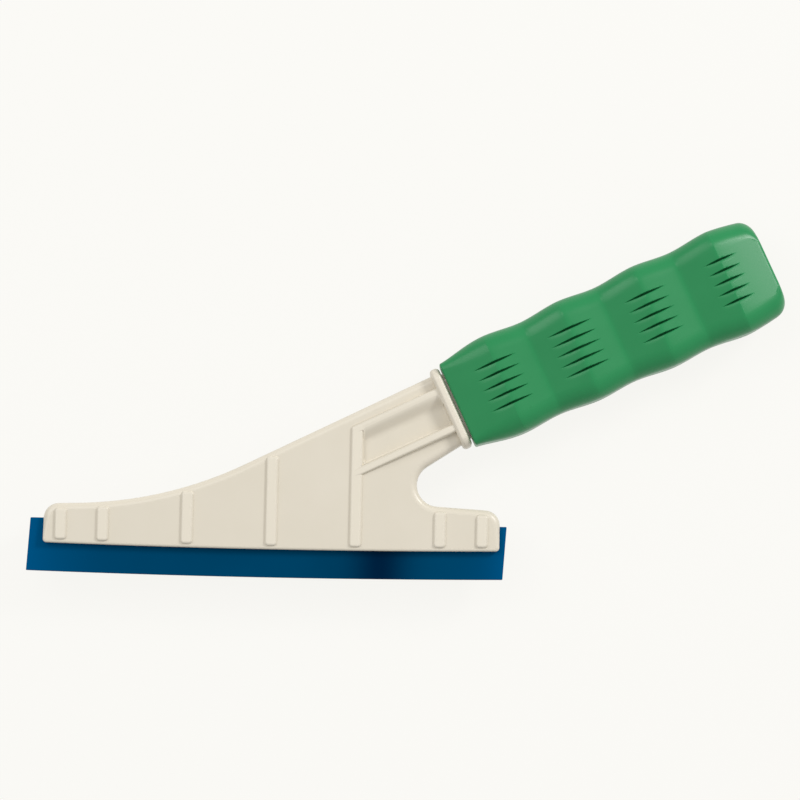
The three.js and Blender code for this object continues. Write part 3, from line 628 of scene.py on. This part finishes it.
# %% The grip's sizes along the handle
GRIP_GAP, GRIP_LENGTH, GRIP_CORNER, GRIP_FIT = 0.9, 146.1, 8.0, 0.3
FIRST_CREST, MOUTH_ROUND, MOUTH_CORNER, MOUTH_OVERLAP = 21.6, 0.8, 2.8, 0.8
BUTT_REACH, BUTT_CORNER, BUTT_EDGE = 19.5, 5.6, 1.2
HEIGHT_SWELL, HEIGHT_GROWTH, HEIGHT_WAVE, HEIGHT_DROP = 2.45, 1.6, 0.6, 2.6
WIDTH_SWELL, WIDTH_WAVE, WIDTH_DROP = 2.6, 1.95, 6.3
OPENING_POWER, HEIGHT_DROP_POWER, WIDTH_DROP_POWER = 1.4, 1.5, 1.07
last_crest = GRIP_LENGTH - BUTT_REACH
grip_pitch = (last_crest - FIRST_CREST) / 3
mouth_height, mouth_width = COLLAR_HEIGHT / 2 + MOUTH_OVERLAP, COLLAR_WIDTH / 2 + MOUTH_OVERLAP


def folded(phase, crispness=0.985):
    """A triangle wave with its tips just rounded: the arc sine of a cosine, crest at whole numbers."""
    return np.arcsin(crispness * np.cos(2 * math.pi * phase)) / math.asin(crispness)


def half_height(s):
    """Mouth, plus a swell that grows along the grip, plus a wave with its crests at the four swells. Before
    the first crest it opens from the mouth as a power of a sine, and after the last it drops as a power of
    the way to the butt."""
    place = np.clip(s, FIRST_CREST, last_crest)
    wave = HEIGHT_WAVE * np.cos(2 * math.pi * ((place - FIRST_CREST) / grip_pitch))
    full = mouth_height + HEIGHT_SWELL + HEIGHT_GROWTH * place / GRIP_LENGTH + wave
    opening = np.sin(np.clip(s / FIRST_CREST, 0, 1) * math.pi / 2) ** OPENING_POWER
    drop = np.clip((s - last_crest) / BUTT_REACH, 0, 1) ** HEIGHT_DROP_POWER
    return mouth_height + (full - mouth_height) * opening - HEIGHT_DROP * drop


def half_width(s):
    """Mouth, plus a swell, plus a triangle wave, so the broad faces are flats. The drop to the butt is a
    power just above one of the way, so its flats steepen a little."""
    place = np.clip(s, FIRST_CREST, last_crest)
    full = mouth_width + WIDTH_SWELL + WIDTH_WAVE * folded((place - FIRST_CREST) / grip_pitch)
    opening = np.clip(s / FIRST_CREST, 0, 1)
    drop = np.clip((s - last_crest) / BUTT_REACH, 0, 1) ** WIDTH_DROP_POWER
    return mouth_width + (full - mouth_width) * opening - WIDTH_DROP * drop


def corner_radius(s):
    """Tight at the mouth, opening as a sine up to the first crest, even from there on."""
    opening = np.sin(np.clip(s / FIRST_CREST, 0, 1) * math.pi / 2)
    return MOUTH_CORNER + (GRIP_CORNER - MOUTH_CORNER) * opening


print("grip crests every", round(grip_pitch, 2), "mm")

# %% The grip's rows
BORE_ROWS, OUTSIDE_ROWS, ROUND_STEPS = 12, 236, 9
BORE_FLARE, FLARE_STEP, FLARE_INSET, BUTT_FLAT = 0.6, 0.15, 0.45, 0.4


def grip_rows():
    """Four numbers a row: place along the grip, half height, half width, corner radius. The bore from its
    end to the mouth, the mouth's face, its round, the outside, the butt's round and a flat ring. The butt's
    corners have a larger radius than its edges: radius less the root of radius squared less depth squared
    comes off height and width."""
    turn = np.linspace(0, math.pi / 2, ROUND_STEPS)
    deep = np.linspace(TANG_LENGTH + GRIP_FIT - GRIP_GAP, BORE_FLARE, BORE_ROWS)
    loose = GRIP_FIT - TANG_TAPER * (deep + GRIP_GAP) / TANG_LENGTH
    bore = np.stack([
        deep, TANG_HEIGHT / 2 + loose, TANG_WIDTH / 2 + loose, TANG_CORNER + GRIP_FIT + 0 * deep,
    ])
    flare = bore[:, -1:] + np.array([[-FLARE_INSET, -BORE_FLARE]] + 3 * [[FLARE_STEP, BORE_FLARE]])
    outside = np.unique(np.concatenate([
        np.linspace(MOUTH_ROUND, GRIP_LENGTH - BUTT_CORNER, OUTSIDE_ROWS),
        FIRST_CREST + grip_pitch / 2 * np.arange(7),
    ]))
    mouth_cut = MOUTH_ROUND * (1 - np.cos(turn[:0:-1]))
    mouth_place = MOUTH_ROUND * (1 - np.sin(turn[:0:-1]))
    left = np.concatenate([np.linspace(BUTT_CORNER, BUTT_EDGE, 8)[1:], BUTT_EDGE * (1 - np.sin(turn[1:]))])
    corner_cut, edge_cut = (r - np.sqrt(r**2 - (r - left).clip(0) ** 2) for r in (BUTT_CORNER, BUTT_EDGE))
    s = np.concatenate([mouth_place, outside, GRIP_LENGTH - left, [GRIP_LENGTH]])
    height_cut = np.concatenate([mouth_cut, 0 * outside, corner_cut, [BUTT_CORNER + BUTT_FLAT]])
    width_cut = np.concatenate([mouth_cut, 0 * outside, edge_cut, [BUTT_EDGE + BUTT_FLAT]])
    outer = np.stack([
        s, half_height(s) - height_cut, half_width(s) - width_cut, corner_radius(s) - width_cut,
    ])
    return np.hstack([bore, flare, outer])


inner_rows = BORE_ROWS + 2 + ROUND_STEPS - 1
print("grip rows before the outside:", inner_rows)

# %% The grip's columns
SLIT_PITCH, SLIT_RISE, FLAT_HALF, FLAT_MARGIN = 4.7, 0.35, 13.2, 12.4
slit_rows = SLIT_PITCH * np.arange(-2, 3) + SLIT_RISE
slit_offsets = np.array([1.2, 0.65, 0.5, 0.35, 0.18, 0.0, -0.18, -0.35, -0.5, -0.7, -1.0, -1.4, -2.1])
flat_ends = [-FLAT_HALF, -FLAT_MARGIN, FLAT_MARGIN, FLAT_HALF]
flat_places = np.sort(np.append((slit_rows[:, None] + slit_offsets).ravel(), flat_ends))


def grip_columns():
    """Six numbers a column, round the section to the left: the flat's own place across the handle, the
    corner that it belongs to (two signs), the outward direction (two numbers), and one where the column
    lies on a broad face."""
    turn = np.linspace(0, math.pi / 2, 10)
    none, flat_none = 0 * turn, 0 * flat_places
    columns = []
    for front in (1, -1):
        for face_turn, sign in ((0.0, front), (math.pi / 2, -front)):
            angle = face_turn + turn + (0 if front > 0 else math.pi)
            columns.append(np.stack([none, sign + none, front + none, np.cos(angle), np.sin(angle), none]))
            if face_turn == 0:
                flat, ahead = flat_places[:: -front], front + flat_none
                columns.append(np.stack([flat, flat_none, ahead, flat_none, ahead, 1 + flat_none]))
    return np.hstack(columns)


print("places across each broad face:", len(flat_places))

# %% [markdown]
# Rows of slits are cut across every crest, so that a wet hand finds hold. Each is a spindle: a deep narrow
# groove in the middle, and ends that run out to fine points. Below the groove the rubber slopes down to it
# as a shallow lip, which catches the light. They are too many for Boolean cuts, so the grid itself is
# pushed inwards, with columns set close together where a groove runs.

# %% The slits
SLIT_DEPTH, SLIT_HALF, LIP_DEPTH, LIP_WIDTH = 1.5, 0.55, 0.62, 2.0
LIP_SHARE, LIP_FADE, TINY = 0.8, 0.5, 1e-6
crests = FIRST_CREST + grip_pitch * np.arange(4)
slit_lengths = np.array([19.3, 20.5, 18.8, 14.2])


def slit_depth(s, t):
    """Depths of groove and lip at s and t. Along the handle an arch, one minus u squared, gives the half
    width. Across it the groove is a valley, one minus the square of the distance over that half width.
    The lip below the groove is a shallow slope, the square of what is left of its width, and it fades from
    the slit's end nearer the mouth to its other end."""
    group = np.argmin(np.abs(s[..., None] - crests), axis=-1)
    u = (s - crests[group]) / (slit_lengths[group] / 2)
    arch = np.clip(1 - u**2, 0, 1)
    away = t[..., None] - slit_rows
    nearest = np.argmin(np.abs(away), axis=-1)[..., None]
    off = np.take_along_axis(away, nearest, axis=-1)[..., 0]
    groove = SLIT_DEPTH * arch * np.clip(1 - (off / (SLIT_HALF * arch + TINY)) ** 2, 0, 1)
    slope = np.where(off < 0, np.clip(1 + off / LIP_WIDTH, 0, 1) ** 2, 0)
    lip = LIP_DEPTH * arch * np.clip(LIP_SHARE - LIP_FADE * u, 0, 1) * slope
    return groove, lip


print("deepest slit", SLIT_DEPTH, "mm")

# %% The grip
def grip_grid():
    """The point of row i and column j: the corner's centre (half height less radius, half width less
    radius), plus the radius times the outward direction. On a broad face the place across is the column's
    own, scaled to the row, and the slits, which keep to their columns, push the outside inwards."""
    s, h, w, r = (value[:, None] for value in grip_rows())
    flat, corner_t, corner_z, out_t, out_z, broad = grip_columns()
    on_flat = flat * np.minimum(1, (h - r) / FLAT_HALF)
    t = np.where(broad > 0, on_flat, corner_t * (h - r) + out_t * r)
    z = corner_z * (w - r) + out_z * r
    s = s + 0 * t
    slitted = (broad > 0) & (np.arange(len(s)) > inner_rows)[:, None]
    groove, lip = (np.where(slitted, depth, 0) for depth in slit_depth(s, flat + 0 * t))
    depth = np.maximum(groove, lip)
    place = on_handle(s + GRIP_GAP, t)
    return np.concatenate([place, (z - corner_z * depth)[..., None]], axis=2), groove / SLIT_DEPTH


grip_points, groove = grip_grid()
grip = drawn("rubber_grip", [skin(grip_points)])
# The share of each groove's depth, by which the material paints shade into the slits.
store(grip, "groove", groove)
finished(grip, "grip", "grip", sharp=45)

# %% [markdown]
# Seven pan-head screws close the shells from the rear. Only the heads can be seen, but each screw is drawn
# whole: a profile turned about its axis, with a cross recess cut into the head. The recesses point
# different ways, as on a tool put together by hand.

# %% The screws
SCREW_RADIUS, THREAD_ROOT, THREAD_STEP, THREAD_START, THREAD_END = 1.2, 0.98, 0.45, 0.6, 1.8
HEAD_RIM, DOME_START, PLAIN_SHANK, SCREW_PAST, POINT_LENGTH = 0.55, 0.08, 0.4, 3.2, 1.5
POINT_RADII, RECESS_TURN = [0.9, 0.3], 37
RECESS = ((-0.5, 1.45, 0.36), (0.95, 0.9, 0.24))


def screw_rings(place, seat):
    """A domed head, then a shank with a thread as small steps in and out, then a blunt point. Heights rise
    from the head, which faces the rear, and the seat is the head's underside."""
    turn = np.linspace(DOME_START, math.pi / 2, 8)
    dome_radius = SCREW_HEAD_RADIUS * np.sin(turn)
    dome_height = -HEAD_RIM - (SCREW_HEAD_HEIGHT - HEAD_RIM) * np.cos(turn)
    tip = seat + SCREW_PAST
    thread_height = np.arange(THREAD_START, tip - THREAD_END, THREAD_STEP)
    thread_radius = np.where(np.arange(len(thread_height)) % 2, THREAD_ROOT, SCREW_RADIUS)
    under_head = [SCREW_HEAD_RADIUS, THREAD_ROOT, THREAD_ROOT]
    radius = np.concatenate([dome_radius, under_head, thread_radius, POINT_RADII])
    height = np.concatenate([dome_height, [0.0, 0.0, PLAIN_SHANK], thread_height, [tip - POINT_LENGTH, tip]])
    return turned_body(place, radius, height - seat - SCREW_CLEARANCE, places=36)


def cross_recess(place, seat, angle):
    """One arm of the recess: a bar across the head that narrows towards its floor. Each of its two ends has
    a height from the head's top, a half length and a half width."""
    top = -seat - SCREW_CLEARANCE - SCREW_HEAD_HEIGHT
    foot = np.array([[-1, -1], [1, -1], [1, 1], [-1, 1]])
    c, s = math.cos(angle), math.sin(angle)
    rings = []
    for height, reach, width in RECESS:
        spot = place + (foot * [reach, width]) @ np.array([[c, s], [-s, c]])
        rings.append(np.column_stack([spot, np.full(4, top + height)]))
    return skin(np.stack(rings))


screws = []
for number, (place, face) in enumerate(zip(screw_places, screw_faces), start=1):
    node_name = "screw_neck" if number == 7 else f"screw_{number}"
    seat = face - SCREW_HEAD_HEIGHT - HEAD_SINK
    body = drawn("turned_" + node_name, [skin(screw_rings(place, seat))])
    turn = math.radians(HANDLE_ANGLE + RECESS_TURN * number)
    arms = [drawn("arm", [cross_recess(place, seat, turn + more)]) for more in (0, math.pi / 2)]
    moulded(body, cuts=arms)
    screws.append(finished(body, "holder", node_name))

# %% [markdown]
# Colours are written as they look on a screen, in sRGB hex, and one function turns them into the linear
# values that Blender works in. Another adds a node with its settings and its links, and short ones for the
# kinds of node that come up often let each material below read as a list.

# %% Colours and nodes
RELIEF = 0.0001


def linear(code, alpha=1.0):
    """Each channel over 12.92 where dark, otherwise ((channel + 0.055) / 1.055) to the power of 2.4."""
    channel = np.array([int(code[i : i + 2], 16) / 255 for i in (1, 3, 5)])
    value = np.where(channel <= 0.04045, channel / 12.92, ((channel + 0.055) / 1.055) ** 2.4)
    return (*value.tolist(), alpha)


def node(tree, kind, inputs=None, links=None, **settings):
    """One new node: its settings, the values of its inputs, and the sockets linked to its inputs."""
    new = tree.nodes.new(kind)
    for name, value in settings.items():
        setattr(new, name, value)
    for key, value in (inputs or {}).items():
        new.inputs[key].default_value = value
    for key, socket in (links or {}).items():
        tree.links.new(socket, new.inputs[key])
    return new


def finish_of(name):
    """An empty material, its tree and its Object coordinates."""
    material = bpy.data.materials.new(name)
    material.use_nodes = True
    material.node_tree.nodes.clear()
    place = node(material.node_tree, "ShaderNodeTexCoord").outputs["Object"]
    return material, material.node_tree, place


def noise(tree, place, millimetres, detail):
    """Soft noise from 0 to 1 with features this far apart. Its scale counts them to the metre."""
    scale = 1000 / millimetres
    new = node(tree, "ShaderNodeTexNoise", {"Scale": scale, "Detail": detail}, {"Vector": place})
    return new.outputs["Fac"]


def stored(tree, name):
    """The number that the mesh holds under a name."""
    return node(tree, "ShaderNodeAttribute", attribute_name=name).outputs["Fac"]


def mixed(tree, share, first, second):
    """From the first colour, a code or a socket, to the second, a code, as the share goes from 0 to 1."""
    inputs, links = {7: linear(second)}, {0: share}
    if isinstance(first, str):
        inputs[6] = linear(first)
    else:
        links[6] = first
    return node(tree, "ShaderNodeMix", inputs, links, data_type="RGBA").outputs[2]


def between(tree, low, high, value):
    """From low to high as the value goes from 0 to 1."""
    return node(tree, "ShaderNodeMapRange", {"To Min": low, "To Max": high}, {"Value": value}).outputs[0]


def bump(tree, strength, height):
    """A relief of a tenth of a millimetre, weakened by the strength."""
    inputs = {"Strength": strength, "Distance": RELIEF}
    return node(tree, "ShaderNodeBump", inputs, {"Height": height}).outputs[0]


def surface(tree, settings, colour, roughness, normal=None):
    """The Principled shader with its settings and links, joined to the material's output."""
    links = {"Base Color": colour, "Roughness": roughness}
    if normal is not None:
        links["Normal"] = normal
    shader = node(tree, "ShaderNodeBsdfPrincipled", settings, links)
    node(tree, "ShaderNodeOutputMaterial", links={"Surface": shader.outputs[0]})


def coat(material, *pieces):
    """Gives the pieces this one material."""
    for piece in pieces:
        piece.data.materials.clear()
        piece.data.materials.append(material)
    print(material.name, "on", len(pieces), "pieces")


# %% [markdown]
# The shells are injection-moulded ABS in a warm cream. The mould was spark-eroded, which leaves a fine
# satin grain, and the resin shows faint clouds where it flowed. The rib tops are painted paler, a painted
# highlight. The grain is really about a tenth of a millimetre and is drawn at five times that, so that it
# just shows.

# %% Moulded cream ABS
cream, tree, place = finish_of("moulded_cream_abs")
grain = noise(tree, place, 0.5, 2.0)
tint = mixed(tree, noise(tree, place, 22, 3.0), "#d9d1bf", "#e0d8c8")
# The flat rib tops are painted paler here: a painted highlight.
tint = mixed(tree, stored(tree, "painted_top_highlight"), tint, "#e3dbca")
surface(tree, {"IOR": 1.52}, tint, between(tree, 0.32, 0.4, grain), bump(tree, 0.05, grain))
coat(cream, front_shell, rear_shell)

# %% [markdown]
# The blade is cast polyurethane, dyed a deep blue all through. It is smooth and lightly glossy, with long
# faint streaks from the knife that cut the strip. Towards its ends the blue is painted lighter, painted
# light for light getting in from the side, and right of the middle a darker patch is a painted dark
# reflection, as the numbers stored on the mesh say.

# %% Cast blue polyurethane
blue, tree, place = finish_of("cast_blue_polyurethane")
long_way = node(tree, "ShaderNodeMapping", {"Scale": (0.02, 1.0, 1.0)}, {"Vector": place})
streaks = noise(tree, long_way.outputs[0], 0.8, 2.0)
tint = mixed(tree, noise(tree, place, 45, 2.0), "#003654", "#00456a")
# Painted light: lighter blue towards the ends.
tint = mixed(tree, stored(tree, "painted_end_light"), tint, "#004f7e")
# Painted dark reflection: the blue is painted darker right of the middle.
tint = mixed(tree, stored(tree, "painted_dark_reflection"), tint, "#001c38")
gloss = {"IOR": 1.5, "Specular Tint": linear("#00588c")}
surface(tree, gloss, tint, between(tree, 0.1, 0.16, streaks), bump(tree, 0.05, streaks))
coat(blue, blade)

# %% [markdown]
# The grip is moulded thermoplastic rubber, a plain mid green with a dry, slightly greasy sheen. Its fine
# pebble grain is about a quarter of a millimetre on the real one and is drawn at twice that. The slit floors
# are painted darker than the rest, a painted shade for the shadow that the slits hold.

# %% Moulded green rubber
green, tree, place = finish_of("moulded_green_rubber")
grain = noise(tree, place, 0.5, 2.0)
tint = mixed(tree, noise(tree, place, 14, 3.0), "#21814b", "#288851")
# Painted shade: the slit floors are painted darker.
tint = mixed(tree, stored(tree, "groove"), tint, "#0a4323")
sheen = {"IOR": 1.5, "Specular IOR Level": 0.32}
surface(tree, sheen, tint, between(tree, 0.29, 0.35, grain), bump(tree, 0.08, grain))
coat(green, grip)

# %% [markdown]
# The screws are zinc-plated steel: a cool, slightly cloudy metal with fine marks from tumbling in the
# plating barrel.

# %% Zinc-plated steel
zinc, tree, place = finish_of("zinc_plated_steel")
clouds = noise(tree, place, 1.5, 4.0)
tint = mixed(tree, clouds, "#aeb2b6", "#c9cccd")
surface(tree, {"Metallic": 1.0}, tint, between(tree, 0.25, 0.45, clouds))
coat(zinc, *screws)

# %% [markdown]
# The table is a plain pale sheet. To the camera, and to reflections, it is mixed with an even white, so the
# background stays light and the shadow under the tool is only faint. It isn't part of the tool.

# %% The pale table
TABLE_SIZE, EVEN_SHARE = 8.0, 0.91
sheet_corners = TABLE_SIZE / 2 * np.array([[-1, -1, 0], [1, -1, 0], [1, 1, 0], [-1, 1, 0]])
sheet = bpy.data.meshes.new("table")
sheet.from_pydata(sheet_corners, [], [[0, 1, 2, 3]])
table = bpy.data.objects.new("table", sheet)
bpy.context.scene.collection.objects.link(table)
pale, tree, _ = finish_of("pale_paper_table")
rays = node(tree, "ShaderNodeLightPath").outputs
seen = rays["Is Camera Ray"]
for kind in ("Is Glossy Ray", "Is Transmission Ray"):
    seen = node(tree, "ShaderNodeMath", links={0: seen, 1: rays[kind]}, operation="MAXIMUM").outputs[0]
share = node(tree, "ShaderNodeMath", {1: EVEN_SHARE}, {0: seen}, operation="MULTIPLY").outputs[0]
matt = node(tree, "ShaderNodeBsdfDiffuse", {"Color": linear("#dcdbd8")}).outputs[0]
even = node(tree, "ShaderNodeEmission", {"Color": linear("#fdfcf8"), "Strength": 1.0}).outputs[0]
both = node(tree, "ShaderNodeMixShader", links={0: share, 1: matt, 2: even}).outputs[0]
node(tree, "ShaderNodeOutputMaterial", links={"Surface": both})
coat(pale, table)

# %% [markdown]
# The light is a studio's: an even sky and three soft boxes. The one to the right gives the butt its sheen.
# A long strip to the upper left draws the pale streaks along the grip's upper edge. A small one near the
# top shapes the rounds. Each lamp's power comes from the share of light that it should give to a face that
# lies flat, so the shares add up to a plain level and colours render as written.

# %% The sky and the soft boxes
SKY_SHARE, LAMP_DISTANCE = 0.56, 1.5
scene = bpy.context.scene
scene.view_settings.view_transform = "Standard"
world = bpy.data.worlds.new("studio")
scene.world = world
world.use_nodes = True
tree = world.node_tree
tree.nodes.clear()
sky = node(tree, "ShaderNodeBackground", {"Color": linear("#ffffff"), "Strength": SKY_SHARE})
node(tree, "ShaderNodeOutputWorld", links={"Surface": sky.outputs[0]})
middle = (Vector(cad_box[0]) + Vector(cad_box[1])) / 2


def soft_box(name, azimuth, elevation, share, size, roll=0):
    """A lamp that faces the tool. Its power is share x pi squared x distance squared over the sine of its
    elevation, so that it gives a flat face that share of the plain level. Azimuth counts from X towards Y,
    and the roll turns the lamp's longer side up from the level."""
    lamp = bpy.data.lights.new(name, "AREA")
    lamp.shape = "RECTANGLE"
    lamp.size, lamp.size_y = size
    lift, around = math.radians(elevation), math.radians(azimuth)
    lamp.energy = share * math.pi**2 * LAMP_DISTANCE**2 / math.sin(lift)
    away = Vector((math.cos(around) * math.cos(lift), math.sin(around) * math.cos(lift), math.sin(lift)))
    stand = bpy.data.objects.new(name, lamp)
    stand.location = middle + LAMP_DISTANCE * away
    stand.rotation_mode = "QUATERNION"
    facing = (-away).to_track_quat("-Z", "Y")
    stand.rotation_quaternion = facing @ Quaternion((0, 0, 1), math.radians(roll))
    scene.collection.objects.link(stand)
    print(name, round(lamp.energy, 1), "W")


soft_box("right_box", 37, 33, 0.28, (0.35, 0.35))
soft_box("left_strip", 152, 45, 0.17, (1.2, 0.34), roll=51)
soft_box("top_box", 116, 60, 0.07, (0.3, 0.3))

# %% [markdown]
# The photographer stood a long way back, looking down with the camera leaning a little towards the blade
# and turned by about a degree. Distance, lean, turn and scale were fitted to places seen in the picture.

# %% The camera
CAMERA_DISTANCE, PIXELS_PER_MM, PICTURE_WIDTH, SENSOR_WIDTH = 1.6, 2.3383, 800, 36
CAMERA_AIM, VIEW_END = [0.05362, 0.07601, 0.0], 50
CAMERA_LEAN, CAMERA_SIDE, CAMERA_ROLL = (math.radians(angle) for angle in (3.44, 0.94, 1.213))
aim = Vector(start_point + CAMERA_AIM)
back = Vector((math.sin(CAMERA_SIDE), -math.sin(CAMERA_LEAN), 0))
back.z = math.sqrt(1 - back.length_squared)
right = Vector((0, 1, 0)).cross(back).normalized()
up = back.cross(right)
right, up = (
    math.cos(CAMERA_ROLL) * right + math.sin(CAMERA_ROLL) * up,
    math.cos(CAMERA_ROLL) * up - math.sin(CAMERA_ROLL) * right,
)
lens = bpy.data.cameras.new("camera")
lens.sensor_width = SENSOR_WIDTH
lens.lens = SENSOR_WIDTH * CAMERA_DISTANCE * 1000 * PIXELS_PER_MM / PICTURE_WIDTH
lens.clip_end = VIEW_END
camera = bpy.data.objects.new("camera", lens)
turned_view = Matrix((right, up, back)).transposed().to_4x4()
camera.matrix_world = Matrix.Translation(aim + CAMERA_DISTANCE * back) @ turned_view
scene.collection.objects.link(camera)
scene.camera = camera
print("lens", round(lens.lens, 1), "mm")
